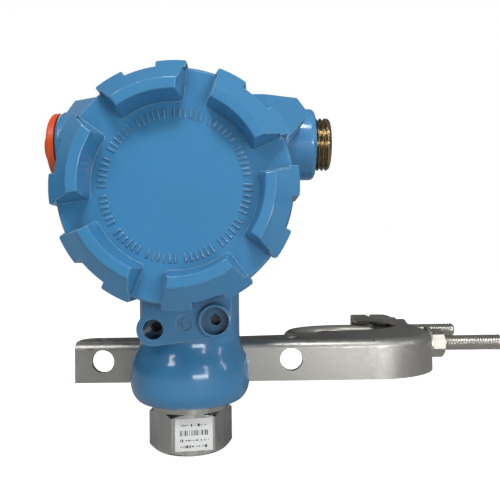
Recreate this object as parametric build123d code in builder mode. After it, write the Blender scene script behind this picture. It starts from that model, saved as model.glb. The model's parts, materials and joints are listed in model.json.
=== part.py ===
from build123d import *
import os
from math import cos, radians, sin, sqrt, tan

# In-line pressure transmitter: a cast two-compartment housing on a stainless sensor,
# with its formed pipe bracket and U-bolt. Millimetres, +Z up.
# The origin is the centre of the hexagon's lower face, on the process port's axis.
# The terminal cover faces -Y and the U-bolt's legs point to +X.

# Fits
running_clearance = 0.08
thread_clearance = 0.05
ring_clearance = 0.1

# How far a cut runs past its piece, a blind hole past its screw, and what counts as one place
cut_past = 1.0
hole_spare = 1.0
same_place = 0.01

# Round body of the housing, whose axis is level and runs along Y
cover_axis_z = 99.0
body_r = 39.0
body_half = 28.0
cover_thread_r = 36.0
cover_thread_depth = 13.0
seal_mouth_r = 37.0
seal_mouth_depth = 3.2
pocket_r = 34.0
partition_y = 4.0
partition_t = 4.0

# Shoulders and conduit bosses, to left and right of the body
shoulder_top_half = 30.3
shoulder_top_z = 136.4
shoulder_x = 44.0
shoulder_z = 138.2
shoulder_side_x = 48.8
shoulder_side_z = 132.0
shoulder_waist_x = 40.0
shoulder_waist_z = 120.0
shoulder_foot_x = 34.0
shoulder_foot_z = 108.0
shoulder_half_y = 19.0
shoulder_tip_y = 3.0
shoulder_ridge_lean = 0.66
shoulder_edge_r = 0.8
conduit_axis_z = 121.4
conduit_axis_y = 3.0
conduit_boss_r = 14.4
conduit_half_span = 51.5
conduit_rim_r = 2.2
conduit_thread_depth = 14.4
conduit_passage_r = 5.0
conduit_passage_y = -4.5

# Neck and bulge below the body
neck_r = 20.0
neck_foot_z = 43.2
bulge_r = 23.85
bulge_z = 28.2
bulge_floor_r = 17.6
bulge_floor_z = 18.6
bulge_lower_share = 0.9
bulge_lower_tuck = 1.0
bulge_lower_rise = 2.6
bulge_upper_share = 0.7
sensor_bore_r = 16.0
sensor_bore_top_z = 46.3
upper_bore_r = 13.4
upper_bore_top_z = 59.0
wire_passage_r = 3.6
wire_passage_y = 10.5
wire_passage_drop = 17.0

# Face plate on the neck, with its two eyes
plate_y = -22.0
plate_root_y = -8.0
plate_left_x = -14.6
plate_top_z = 64.0
plate_edge_r = 0.8
lock_eye_x = -11.35
lock_eye_z = 49.1
lock_eye_r = 6.1
lock_well_r = 3.75
lock_well_depth = 8.0
lock_screw_r = 2.0
lock_screw_length = 3.8
lock_socket_af = 2.0
lock_socket_depth = 1.9
lock_screw_gap = 0.3
earth_eye_x = 11.45
earth_eye_z = 52.1
earth_eye_r = 6.35
earth_eye_y = -24.0
earth_well_r = 5.1
earth_well_depth = 5.0
earth_thread_r = 2.05
earth_thread_depth = 6.0
earth_disc_z = 51.3
earth_disc_r = 2.95
earth_disc_depth = 0.5

# Screwed covers
cover_r = 39.6
cover_bevel = 0.7
cover_floor_h = 15.4
cover_floor_t = 4.0
cover_bore_r = 31.5
spigot_length = 12.0
seal_section_r = 1.2
lug_count = 6
lug_phase = 46.0
lug_half_angle = 22.4
lug_inner_r = 28.0
lug_top_h = 24.5
lug_draft = 11.0
lug_corner_r = 1.4
lug_edge_r = 0.4
pad_outer_r = 33.6
pad_step = 0.8
ear_r = 41.4
ear_angle = 14.4
ear_slope = 42.0
ear_foot_h = 0.8

# Sensor module, which turns in the neck
hex_corner_r = 16.56
hex_turn = 9.0
hex_h = 15.9
hex_top_flat_r = 14.34
hex_foot_flat_r = 13.8
hex_chamfer_angle = 30.0
ring_r = 15.4
ring_top_z = 24.0
port_thread_r = 9.7
port_thread_depth = 14.0
port_cavity_r = 7.5
port_cavity_top_z = 20.0
oil_gap_r = 6.4
oil_gap_h = 1.0
diaphragm_r = 7.2
diaphragm_t = 0.3
diaphragm_wave_h = 0.35
diaphragm_wave_pitch = 1.6
diaphragm_wave_count = 3
sensor_top_z = 46.0
sensor_neck_r = 13.2
sensor_neck_top_z = 53.0
seal_groove_z = 30.0
seal_groove_h = 2.2
neck_seal_section_r = 0.75
board_r = 11.6
board_t = 1.6
header_length = 12.0
header_width = 5.0
header_h = 3.4
header_wall = 0.8

# Terminals and electronics
block_r = 26.0
block_t = 9.0
block_edge_r = 1.0
block_rib_t = 1.8
block_rib_length = 22.0
block_rib_h = 5.0
terminal_count = 3
terminal_pitch = 11.5
terminal_head_r = 4.2
terminal_head_h = 2.6
terminal_shank_r = 2.0
terminal_shank_length = 5.0
block_screw_half = 21.5
small_screw_r = 1.5
small_head_r = 2.9
small_head_h = 2.2
small_screw_grip = 3.0
screw_tip_gap = 0.5
slot_w = 0.9
slot_depth = 1.1
feedthrough_r = 3.6
feedthrough_out = 1.5
recess_r = 5.0
recess_depth = 2.0
module_r = 29.5
module_rim_t = 6.0
module_cap_r = 26.5
module_t = 17.0
module_edge_r = 1.2
module_screw_half = 22.5

# Plugs in the conduit bosses
dust_flange_r = 13.9
dust_flange_t = 3.2
dust_rim_r = 1.3
dust_dome_r = 9.0
dust_dome_h = 3.9
dust_head_r = 6.5
dust_head_h = 6.3
dust_body_length = 11.0
dust_wall = 1.6
metal_plug_r = 10.67
metal_plug_out = 6.3
metal_plug_in = 11.0
metal_plug_edge_r = 1.4
metal_plug_socket_af = 9.5
metal_plug_socket_depth = 8.0

# Bracket, formed from stainless plate
bracket_front_y = 28.0
bracket_t = 3.0
bracket_top_z = 37.7
bracket_foot_z = 19.4
bracket_left_x = -55.5
bracket_side_x = 116.0
bracket_back_y = 149.0
bracket_front_corner_r = 34.0
bracket_back_corner_r = 8.0
bracket_bend_r = 3.8
bracket_hollow_past = 5.0
arm_back_y = 44.5
arm_waist_x = 20.0
arm_step_x = 55.0
arm_step_y = 50.0
arm_corner_r = 7.0
horn_front_x = 60.5
horn_back_x = 91.0
horn_tip_r = 2.0
saddle_r = 42.0
saddle_axis_x = 69.0
pipe_axis_y = 102.0
hole_z = 29.0
panel_hole_r = 5.15
panel_hole_half = 42.85
web_hole_r = 4.0
web_hole_half = 44.8
web_hole_y = 37.0
relief_slot_x = 101.8
relief_slot_w = 3.3
relief_slot_length = 16.0
relief_slot_depth = 4.2

# Two bolts that hold the bracket to the pad behind the bulge
bolt_half = 12.0
bolt_r = 3.1
bolt_hole_r = 3.4
bolt_head_af = 11.1
bolt_head_h = 4.2
bolt_engagement = 8.0
bolt_chamfer_angle = 30.0
lock_washer_r = 5.6
lock_washer_t = 1.6
lock_washer_gap = 1.0
pad_end_r = 7.4
pad_root_y = 12.0

# U-bolt for a pipe of 60.3 outer diameter
rod_r = 3.97
leg_half_spacing = 34.95
bend_axis_x = 82.6
leg_end_x = 155.0
u_bolt_tilt = 1.5
rod_chamfer = 1.0
washer_r = 8.4
washer_t = 1.6
nut_af = 12.7
nut_h = 6.75
nut_turn = 17.0

# Values that follow from those above
partition_front_y = partition_y - partition_t / 2
partition_back_y = partition_y + partition_t / 2
conduit_thread_r = metal_plug_r + running_clearance
spigot_r = cover_thread_r - running_clearance
seal_ring_r = seal_mouth_r - ring_clearance - seal_section_r
seal_root_r = seal_ring_r - seal_section_r - ring_clearance
sensor_r = sensor_bore_r - running_clearance
neck_seal_r = sensor_bore_r - thread_clearance - neck_seal_section_r
seal_groove_r = neck_seal_r - neck_seal_section_r - thread_clearance
leg_y = leg_half_spacing * cos(radians(u_bolt_tilt))
leg_rise = leg_half_spacing * sin(radians(u_bolt_tilt))


def facing(side, y, x=0.0, z=cover_axis_z):
    """Plane that looks out of the front (-1) or the rear (+1), with its local y upwards."""
    return Plane(origin=(x, y, z), x_dir=(-side, 0, 0), z_dir=(0, side, 0))


def sideways(side, x, y=conduit_axis_y, z=conduit_axis_z):
    """Plane that looks out to the left (-1) or the right (+1), with its local y upwards."""
    return Plane(origin=(x, y, z), x_dir=(0, side, 0), z_dir=(side, 0, 0))


def along(seat):
    """Plane that holds a seat's axis: local x is the radius, local y runs out along the axis."""
    return Plane(origin=seat.origin, x_dir=seat.x_dir, z_dir=-seat.y_dir)


def axis_of(seat):
    return Axis(seat.origin, seat.z_dir)


# Outline of one cover lug with its two ears, centred on the local x axis
with BuildSketch() as lug_plan:
    with BuildLine():
        inner = CenterArc((0, 0), lug_inner_r, -lug_half_angle, 2 * lug_half_angle)
        outer = CenterArc((0, 0), cover_r, -lug_half_angle, 2 * lug_half_angle)
        Line(inner @ 0, outer @ 0)
        Line(inner @ 1, outer @ 1)
    make_face()
    inner_corners = lug_plan.vertices().filter_by(lambda v: abs(Vector(v).length - lug_inner_r) < same_place)
    fillet(inner_corners, lug_corner_r)

with BuildSketch() as ear_plan:
    with BuildLine():
        ear_foot = CenterArc((0, 0), cover_r - 2 * cover_bevel, -ear_angle / 2, ear_angle)
        ear_face = CenterArc((0, 0), ear_r, -ear_angle / 2, ear_angle)
        Line(ear_foot @ 0, ear_face @ 0)
        Line(ear_foot @ 1, ear_face @ 1)
    make_face()
    ear_corners = ear_plan.vertices().filter_by(lambda v: abs(Vector(v).length - ear_r) < same_place)
    fillet(ear_corners, cover_bevel)


def make_cover(side, label):
    """Turned cover with grip lugs, each with two ears, and a male thread spigot."""
    seat = facing(side, side * body_half)
    with BuildPart() as cover:
        with BuildSketch(along(seat)):
            with BuildLine():
                Polyline(
                    (0, cover_floor_h),
                    (cover_r - cover_bevel, cover_floor_h),
                    (cover_r, cover_floor_h - cover_bevel),
                    (cover_r, 0),
                    (seal_root_r, 0),
                    (seal_root_r, -seal_mouth_depth),
                    (spigot_r, -seal_mouth_depth),
                    (spigot_r, -spigot_length),
                    (cover_bore_r, -spigot_length),
                    (cover_bore_r, cover_floor_h - cover_floor_t),
                    (0, cover_floor_h - cover_floor_t),
                    close=True,
                )
            make_face()
        revolve(axis=axis_of(seat))

        # Lugs with drafted walls stand on the cover's face
        with BuildSketch(seat.offset(cover_floor_h)):
            with PolarLocations(0, lug_count, start_angle=lug_phase):
                add(lug_plan.sketch)
        extrude(amount=lug_top_h - cover_floor_h, taper=lug_draft)

        # Two ears a lug run from near the seat up over the lug
        with BuildSketch(seat.offset(ear_foot_h)):
            for end in (-1, 1):
                ear_phase = lug_phase + end * (lug_half_angle - ear_angle / 2)
                with PolarLocations(0, lug_count, start_angle=ear_phase):
                    add(ear_plan.sketch)
        extrude(amount=lug_top_h - pad_step - ear_foot_h)

        # Beyond a small step, each pad slopes down to its ears
        slope_end_r = ear_r + cut_past
        slope_end_h = lug_top_h - pad_step - (slope_end_r - pad_outer_r) * tan(radians(ear_slope))
        with BuildSketch(along(seat)):
            with BuildLine():
                Polyline(
                    (pad_outer_r, lug_top_h + cut_past),
                    (pad_outer_r, lug_top_h - pad_step),
                    (slope_end_r, slope_end_h),
                    (slope_end_r, lug_top_h + cut_past),
                    close=True,
                )
            make_face()
        revolve(axis=axis_of(seat), mode=Mode.SUBTRACT)
        fillet(cover.faces().group_by(axis_of(seat))[-1].edges(), lug_edge_r)
    cover.part.label = label
    return cover


def make_cover_seal(side, label):
    """O-ring at the root of a cover's thread."""
    seat = facing(side, side * body_half)
    with BuildPart() as seal:
        with BuildSketch(along(seat)):
            with Locations((seal_ring_r, -seal_mouth_depth / 2)):
                Circle(seal_section_r)
        revolve(axis=axis_of(seat))
    seal.part.label = label
    return seal


front_cover = make_cover(-1, "front_cover")
rear_cover = make_cover(1, "rear_cover")
front_cover_seal = make_cover_seal(-1, "front_cover_seal")
rear_cover_seal = make_cover_seal(1, "rear_cover_seal")


def make_shoulder(side):
    """Shoulder beside the body: its front outline, cut to faces that slant back from leaning ridges."""
    ridge_x = shoulder_top_half - shoulder_ridge_lean * (shoulder_z - shoulder_top_z)
    with BuildPart() as shoulder:
        with BuildSketch(Plane.XZ):
            with BuildLine():
                Polyline(
                    (0, shoulder_foot_z),
                    (side * shoulder_foot_x, shoulder_foot_z),
                    (side * shoulder_waist_x, shoulder_waist_z),
                    (side * shoulder_side_x, shoulder_side_z),
                    (side * shoulder_x, shoulder_z),
                    (side * shoulder_top_half, shoulder_top_z),
                    (0, shoulder_top_z),
                    close=True,
                )
            make_face()
        extrude(amount=shoulder_half_y, both=True)
        with BuildSketch(Plane.XY.offset(shoulder_z)):
            with BuildLine():
                Polyline(
                    (-side * shoulder_foot_x, shoulder_half_y),
                    (side * ridge_x, shoulder_half_y),
                    (side * shoulder_side_x, shoulder_tip_y),
                    (side * shoulder_side_x, -shoulder_tip_y),
                    (side * ridge_x, -shoulder_half_y),
                    (-side * shoulder_foot_x, -shoulder_half_y),
                    close=True,
                )
            make_face()
        extrude(
            amount=2 * (shoulder_z - shoulder_foot_z),
            dir=(side * shoulder_ridge_lean, 0, -1),
            mode=Mode.INTERSECT,
        )
        ridges = shoulder.edges().filter_by(
            lambda e: abs(abs(e.center().Y) - shoulder_half_y) < same_place
            and side * e.center().X > shoulder_top_half
        )
        fillet(ridges, shoulder_edge_r)
    return shoulder


left_shoulder = make_shoulder(-1)
right_shoulder = make_shoulder(1)

# Housing: one casting with shoulders, bosses, neck, bulge and face plate
with BuildPart() as housing:
    add(left_shoulder.part)
    add(right_shoulder.part)

    # Conduit bosses with rounded rims
    with BuildSketch(sideways(1, 0)):
        Circle(conduit_boss_r)
    extrude(amount=conduit_half_span, both=True)
    boss_rims = housing.edges().filter_by(GeomType.CIRCLE).filter_by(
        lambda e: abs(abs(e.arc_center.X) - conduit_half_span) < same_place
    )
    fillet(boss_rims, conduit_rim_r)

    # Round body
    with BuildSketch(facing(-1, 0)):
        Circle(body_r)
    extrude(amount=body_half, both=True)

    # Neck and bulge, turned about the sensor's axis
    lower_r = bulge_floor_r + bulge_lower_share * (bulge_r - bulge_floor_r) - bulge_lower_tuck
    upper_r = neck_r + bulge_upper_share * (bulge_r - neck_r)
    with BuildSketch(Plane.XZ):
        with BuildLine():
            Polyline((0, cover_axis_z), (0, bulge_floor_z), (bulge_floor_r, bulge_floor_z))
            Spline(
                (bulge_floor_r, bulge_floor_z),
                (lower_r, bulge_floor_z + bulge_lower_rise),
                (bulge_r, bulge_z),
                tangents=[(1, 0), (0, 1)],
            )
            Spline(
                (bulge_r, bulge_z),
                (upper_r, (bulge_z + neck_foot_z) / 2),
                (neck_r, neck_foot_z),
                tangents=[(0, 1), (0, 1)],
            )
            Polyline((neck_r, neck_foot_z), (neck_r, cover_axis_z), (0, cover_axis_z))
        make_face()
    revolve(axis=Axis.Z)

    # Pad behind the bulge, for the bracket
    with BuildSketch(facing(1, bracket_front_y, z=bulge_z)):
        SlotCenterToCenter(2 * bolt_half, 2 * pad_end_r)
    extrude(amount=pad_root_y - bracket_front_y)

    # Face plate with two eyes, the right one standing further out
    with BuildSketch(facing(-1, plate_y, z=0)):
        with Locations((lock_eye_x, lock_eye_z)):
            Circle(lock_eye_r)
        with Locations((earth_eye_x, earth_eye_z)):
            Circle(earth_eye_r)
        make_hull()
        plate_right_x = earth_eye_x + earth_eye_r
        with Locations(((plate_left_x + plate_right_x) / 2, (earth_eye_z + plate_top_z) / 2)):
            Rectangle(plate_right_x - plate_left_x, plate_top_z - earth_eye_z)
    extrude(amount=plate_y - plate_root_y)
    with BuildSketch(facing(-1, earth_eye_y, x=earth_eye_x, z=earth_eye_z)):
        Circle(earth_eye_r)
    extrude(amount=earth_eye_y - plate_root_y)
    eye_rims = housing.edges().filter_by(GeomType.CIRCLE).filter_by(
        lambda e: abs(e.center().Y - earth_eye_y) < same_place
    )
    fillet(eye_rims, plate_edge_r)

    # Threaded mouths, seal seats and pockets of both compartments
    for side, floor_y in ((-1, partition_front_y), (1, partition_back_y)):
        mouth = facing(side, side * body_half)
        for hole_r, hole_depth in (
            (seal_mouth_r, seal_mouth_depth),
            (cover_thread_r, cover_thread_depth),
            (pocket_r, body_half - side * floor_y),
        ):
            with BuildSketch(mouth):
                Circle(hole_r)
            extrude(amount=-hole_depth, mode=Mode.SUBTRACT)

    # Conduit threads and the passages that lead to the terminals
    for side in (-1, 1):
        with BuildSketch(sideways(side, side * conduit_half_span)):
            Circle(conduit_thread_r)
        extrude(amount=-conduit_thread_depth, mode=Mode.SUBTRACT)
        with BuildSketch(sideways(side, side * conduit_half_span, y=conduit_passage_y)):
            Circle(conduit_passage_r)
        extrude(amount=-conduit_half_span, mode=Mode.SUBTRACT)

    # Bores for the sensor, and the passage for its wires
    with BuildSketch(Plane.XY.offset(bulge_floor_z)):
        Circle(sensor_bore_r)
    extrude(amount=sensor_bore_top_z - bulge_floor_z, mode=Mode.SUBTRACT)
    with BuildSketch(Plane.XY.offset(sensor_bore_top_z)):
        Circle(upper_bore_r)
    extrude(amount=upper_bore_top_z - sensor_bore_top_z, mode=Mode.SUBTRACT)
    with BuildSketch(Plane.XY.offset(upper_bore_top_z)):
        with Locations((0, wire_passage_y)):
            Circle(wire_passage_r)
    extrude(amount=cover_axis_z - wire_passage_drop - upper_bore_top_z, mode=Mode.SUBTRACT)

    # Well and thread of the lock screw, right through into the sensor's bore
    with Locations(facing(-1, plate_y, x=lock_eye_x, z=lock_eye_z)):
        CounterBoreHole(lock_screw_r + thread_clearance, lock_well_r, lock_well_depth, -plate_y)

    # Well and thread of the empty earth screw hole, and the disc recess beside it
    with Locations(facing(-1, earth_eye_y, x=earth_eye_x, z=earth_eye_z)):
        CounterBoreHole(earth_thread_r, earth_well_r, earth_well_depth, earth_well_depth + earth_thread_depth)
    with Locations(facing(-1, plate_y, z=earth_disc_z)):
        Hole(earth_disc_r, earth_disc_depth)

    # Tapped holes for the bracket, in the pad behind the bulge
    with Locations(*[facing(1, bracket_front_y, x=end * bolt_half, z=bulge_z) for end in (-1, 1)]):
        Hole(bolt_r + thread_clearance, bolt_engagement + hole_spare)

    # Holes in the partition: feedthrough, terminal block screws, electronics screws
    with Locations(facing(-1, partition_front_y)):
        Hole(feedthrough_r + thread_clearance, partition_t)
        with Locations((-block_screw_half, 0), (block_screw_half, 0)):
            Hole(small_screw_r + thread_clearance, small_screw_grip)
    with Locations(facing(1, partition_back_y)):
        with Locations((0, -module_screw_half), (0, module_screw_half)):
            Hole(small_screw_r + thread_clearance, small_screw_grip)
housing.part.label = "housing"

# Terminal block in the front compartment
block_face_y = partition_front_y - block_t
with BuildPart() as terminal_block:
    with BuildSketch(facing(-1, partition_front_y)):
        Circle(block_r)
    extrude(amount=block_t)
    fillet(terminal_block.faces().sort_by(Axis.Y)[0].edges(), block_edge_r)
    with BuildSketch(facing(-1, block_face_y)):
        with GridLocations(terminal_pitch, 0, terminal_count + 1, 1):
            Rectangle(block_rib_t, block_rib_length)
    extrude(amount=block_rib_h)
    with Locations(facing(-1, block_face_y)):
        with GridLocations(terminal_pitch, 0, terminal_count, 1):
            Hole(terminal_shank_r + thread_clearance, terminal_shank_length + hole_spare)
        with Locations((-block_screw_half, 0), (block_screw_half, 0)):
            Hole(small_screw_r + thread_clearance, block_t)
    with Locations(facing(1, partition_front_y)):
        Hole(recess_r, recess_depth)
terminal_block.part.label = "terminal_block"


def make_screws(plane, places, head_r, head_h, shank_r, shank_length, label):
    """Slotted cheese-head screws that stand on a plane at its local places."""
    with BuildPart() as screws:
        with BuildSketch(plane):
            with Locations(*places):
                Circle(head_r)
        extrude(amount=head_h)
        with BuildSketch(plane.offset(head_h)):
            with Locations(*places):
                Rectangle(2 * head_r + cut_past, slot_w)
        extrude(amount=-slot_depth, mode=Mode.SUBTRACT)
        with BuildSketch(plane):
            with Locations(*places):
                Circle(shank_r)
        extrude(amount=-shank_length)
    screws.part.label = label
    return screws


first_terminal_x = -terminal_pitch * (terminal_count - 1) / 2
terminal_screws = make_screws(
    facing(-1, block_face_y),
    [(first_terminal_x + i * terminal_pitch, 0) for i in range(terminal_count)],
    terminal_head_r,
    terminal_head_h,
    terminal_shank_r,
    terminal_shank_length,
    "terminal_screws",
)
terminal_block_screws = make_screws(
    facing(-1, block_face_y),
    [(-block_screw_half, 0), (block_screw_half, 0)],
    small_head_r,
    small_head_h,
    small_screw_r,
    block_t + small_screw_grip - screw_tip_gap,
    "terminal_block_screws",
)

# Sealed feedthrough in the partition
with BuildPart() as feedthrough:
    with BuildSketch(facing(-1, partition_front_y - feedthrough_out)):
        Circle(feedthrough_r)
    extrude(amount=-(partition_t + 2 * feedthrough_out))
feedthrough.part.label = "feedthrough"

# Electronics module in the rear compartment
module_face_y = partition_back_y + module_t
with BuildPart() as electronics_module:
    with BuildSketch(facing(1, partition_back_y)):
        Circle(module_r)
    extrude(amount=module_rim_t)
    with BuildSketch(facing(1, partition_back_y)):
        Circle(module_cap_r)
    extrude(amount=module_t)
    fillet(electronics_module.faces().sort_by(Axis.Y)[-1].edges(), module_edge_r)
    with Locations(facing(1, module_face_y)):
        with Locations((0, -module_screw_half), (0, module_screw_half)):
            Hole(small_screw_r + thread_clearance, module_t)
    with Locations(facing(-1, partition_back_y)):
        Hole(recess_r, recess_depth)
electronics_module.part.label = "electronics_module"

electronics_screws = make_screws(
    facing(1, module_face_y),
    [(0, -module_screw_half), (0, module_screw_half)],
    small_head_r,
    small_head_h,
    small_screw_r,
    module_t + small_screw_grip - screw_tip_gap,
    "electronics_screws",
)

# Lock screw, which holds the housing's direction on the sensor
lock_screw_tip_y = -sqrt(upper_bore_r**2 - (abs(lock_eye_x) - lock_screw_r) ** 2) - lock_screw_gap
with BuildPart() as housing_lock_screw:
    lock_screw_head = facing(-1, lock_screw_tip_y - lock_screw_length, x=lock_eye_x, z=lock_eye_z)
    with BuildSketch(lock_screw_head):
        Circle(lock_screw_r)
    extrude(amount=-lock_screw_length)
    with BuildSketch(lock_screw_head):
        RegularPolygon(lock_socket_af / 2, 6, major_radius=False)
    extrude(amount=-lock_socket_depth, mode=Mode.SUBTRACT)
housing_lock_screw.part.label = "housing_lock_screw"

# Sensor module: hexagon, shoulder ring and body, welded into one
with BuildPart() as process_connection:
    with BuildSketch():
        RegularPolygon(hex_corner_r, 6, rotation=hex_turn)
    extrude(amount=hex_h)
    hex_slope = tan(radians(hex_chamfer_angle))
    top_drop = (hex_corner_r - hex_top_flat_r) * hex_slope
    foot_rise = (hex_corner_r - hex_foot_flat_r) * hex_slope
    with BuildSketch(Plane.XZ):
        with BuildLine():
            Polyline(
                (0, 0),
                (hex_foot_flat_r, 0),
                (hex_corner_r, foot_rise),
                (hex_corner_r, hex_h - top_drop),
                (hex_top_flat_r, hex_h),
                (0, hex_h),
                close=True,
            )
        make_face()
    revolve(axis=Axis.Z, mode=Mode.INTERSECT)
    with BuildSketch(Plane.XZ):
        with BuildLine():
            Polyline(
                (0, hex_h / 2),
                (hex_foot_flat_r, hex_h / 2),
                (hex_foot_flat_r, hex_h),
                (ring_r, hex_h),
                (ring_r, ring_top_z),
                (sensor_r, ring_top_z),
                (sensor_r, seal_groove_z),
                (seal_groove_r, seal_groove_z),
                (seal_groove_r, seal_groove_z + seal_groove_h),
                (sensor_r, seal_groove_z + seal_groove_h),
                (sensor_r, sensor_top_z),
                (sensor_neck_r, sensor_top_z),
                (sensor_neck_r, sensor_neck_top_z),
                (0, sensor_neck_top_z),
                close=True,
            )
        make_face()
    revolve(axis=Axis.Z)
    for hole_r, hole_depth in (
        (port_thread_r, port_thread_depth),
        (port_cavity_r, port_cavity_top_z),
        (oil_gap_r, port_cavity_top_z + oil_gap_h),
    ):
        with BuildSketch():
            Circle(hole_r)
        extrude(amount=hole_depth, mode=Mode.SUBTRACT)
process_connection.part.label = "process_connection"

# Isolating diaphragm: a thin disc with round corrugations, welded at its rim
with BuildPart() as isolating_diaphragm:
    with BuildSketch(Plane.XZ):
        with BuildLine():
            crests = [
                (diaphragm_wave_pitch * (i + 1) / 2, port_cavity_top_z - (i % 2) * diaphragm_wave_h)
                for i in range(2 * diaphragm_wave_count)
            ]
            rim = [(oil_gap_r, port_cavity_top_z), (diaphragm_r, port_cavity_top_z)]
            upper = [(0, port_cavity_top_z - diaphragm_wave_h), *crests, *rim]
            lower = [(r, z - diaphragm_t) for r, z in reversed(upper)]
            Polyline(*upper, *lower, close=True)
        make_face()
    revolve(axis=Axis.Z)
isolating_diaphragm.part.label = "isolating_diaphragm"

# O-ring between the sensor and the neck
with BuildPart() as neck_seal:
    with BuildSketch(Plane.XZ):
        with Locations((neck_seal_r, seal_groove_z + seal_groove_h / 2)):
            Circle(neck_seal_section_r)
    revolve(axis=Axis.Z)
neck_seal.part.label = "neck_seal"

# Sensor board and its plug header
with BuildPart() as sensor_board:
    with BuildSketch(Plane.XY.offset(sensor_neck_top_z)):
        Circle(board_r)
    extrude(amount=board_t)
sensor_board.part.label = "sensor_board"

with BuildPart() as sensor_header:
    with BuildSketch(Plane.XY.offset(sensor_neck_top_z + board_t)):
        Rectangle(header_length, header_width)
    extrude(amount=header_h)
    offset(openings=sensor_header.faces().sort_by(Axis.Z)[-1], amount=-header_wall)
sensor_header.part.label = "sensor_header"

# Push-in dust plug of the left conduit boss
with BuildPart() as dust_plug:
    dust_seat = sideways(-1, -conduit_half_span)
    dust_body_r = conduit_thread_r - ring_clearance
    with BuildSketch(along(dust_seat)):
        with BuildLine():
            Polyline(
                (0, dust_head_h),
                (dust_head_r, dust_head_h),
                (dust_head_r, dust_dome_h),
                (dust_dome_r, dust_dome_h),
                (dust_dome_r + (dust_dome_h - dust_flange_t), dust_flange_t),
                (dust_flange_r, dust_flange_t),
                (dust_flange_r, 0),
                (dust_body_r, 0),
                (dust_body_r, -dust_body_length),
                (dust_body_r - dust_wall, -dust_body_length),
                (dust_body_r - dust_wall, dust_flange_t - dust_wall),
                (0, dust_flange_t - dust_wall),
                close=True,
            )
        make_face()
    revolve(axis=axis_of(dust_seat))
    outer_rims = dust_plug.edges().filter_by(GeomType.CIRCLE).filter_by(
        lambda e: abs(e.radius - dust_flange_r) < same_place
        and e.arc_center.X < -conduit_half_span - same_place
    )
    fillet(outer_rims, dust_rim_r)
    fillet(dust_plug.faces().sort_by(Axis.X)[0].edges(), dust_rim_r)
dust_plug.part.label = "dust_plug"

# Threaded metal plug of the right conduit boss, with a hexagon socket
with BuildPart() as conduit_plug:
    plug_outer = sideways(1, conduit_half_span + metal_plug_out)
    with BuildSketch(plug_outer):
        Circle(metal_plug_r)
    extrude(amount=-(metal_plug_out + metal_plug_in))
    fillet(conduit_plug.faces().sort_by(Axis.X)[-1].edges(), metal_plug_edge_r)
    with BuildSketch(plug_outer):
        RegularPolygon(metal_plug_socket_af / 2, 6, major_radius=False)
    extrude(amount=-metal_plug_socket_depth, mode=Mode.SUBTRACT)
conduit_plug.part.label = "conduit_plug"

front_corner_y = bracket_front_y + bracket_front_corner_r
back_corner_y = bracket_back_y - bracket_back_corner_r
front_corner_x = bracket_side_x - bracket_front_corner_r
back_corner_x = bracket_side_x - bracket_back_corner_r


def flange_path(inset, left_x, back_x):
    """Run of the bracket's flange from its left end round both corners to its far horn."""
    with BuildLine() as path:
        Line((left_x, bracket_front_y + inset), (front_corner_x, bracket_front_y + inset))
        CenterArc((front_corner_x, front_corner_y), bracket_front_corner_r - inset, -90, 90)
        Line((bracket_side_x - inset, front_corner_y), (bracket_side_x - inset, back_corner_y))
        CenterArc((back_corner_x, back_corner_y), bracket_back_corner_r - inset, 0, 90)
        Line((back_corner_x, bracket_back_y - inset), (back_x, bracket_back_y - inset))
    return path.line


# Hollow below the bracket's web, bounded by the plate's inner faces
with BuildPart() as bracket_hollow:
    hollow_left_x = bracket_left_x - bracket_hollow_past
    hollow_back_x = horn_back_x - bracket_hollow_past
    with BuildSketch(Plane.XY.offset(bracket_foot_z)):
        with BuildLine():
            add(flange_path(bracket_t, hollow_left_x, hollow_back_x))
            Polyline(
                (hollow_back_x, bracket_back_y - bracket_t),
                (hollow_back_x, pipe_axis_y),
                (hollow_left_x, pipe_axis_y),
                (hollow_left_x, bracket_front_y + bracket_t),
            )
        make_face()
    extrude(amount=bracket_top_z - bracket_t - bracket_foot_z)
    fillet(bracket_hollow.faces().sort_by(Axis.Z)[-1].edges(), bracket_bend_r - bracket_t)

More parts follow.
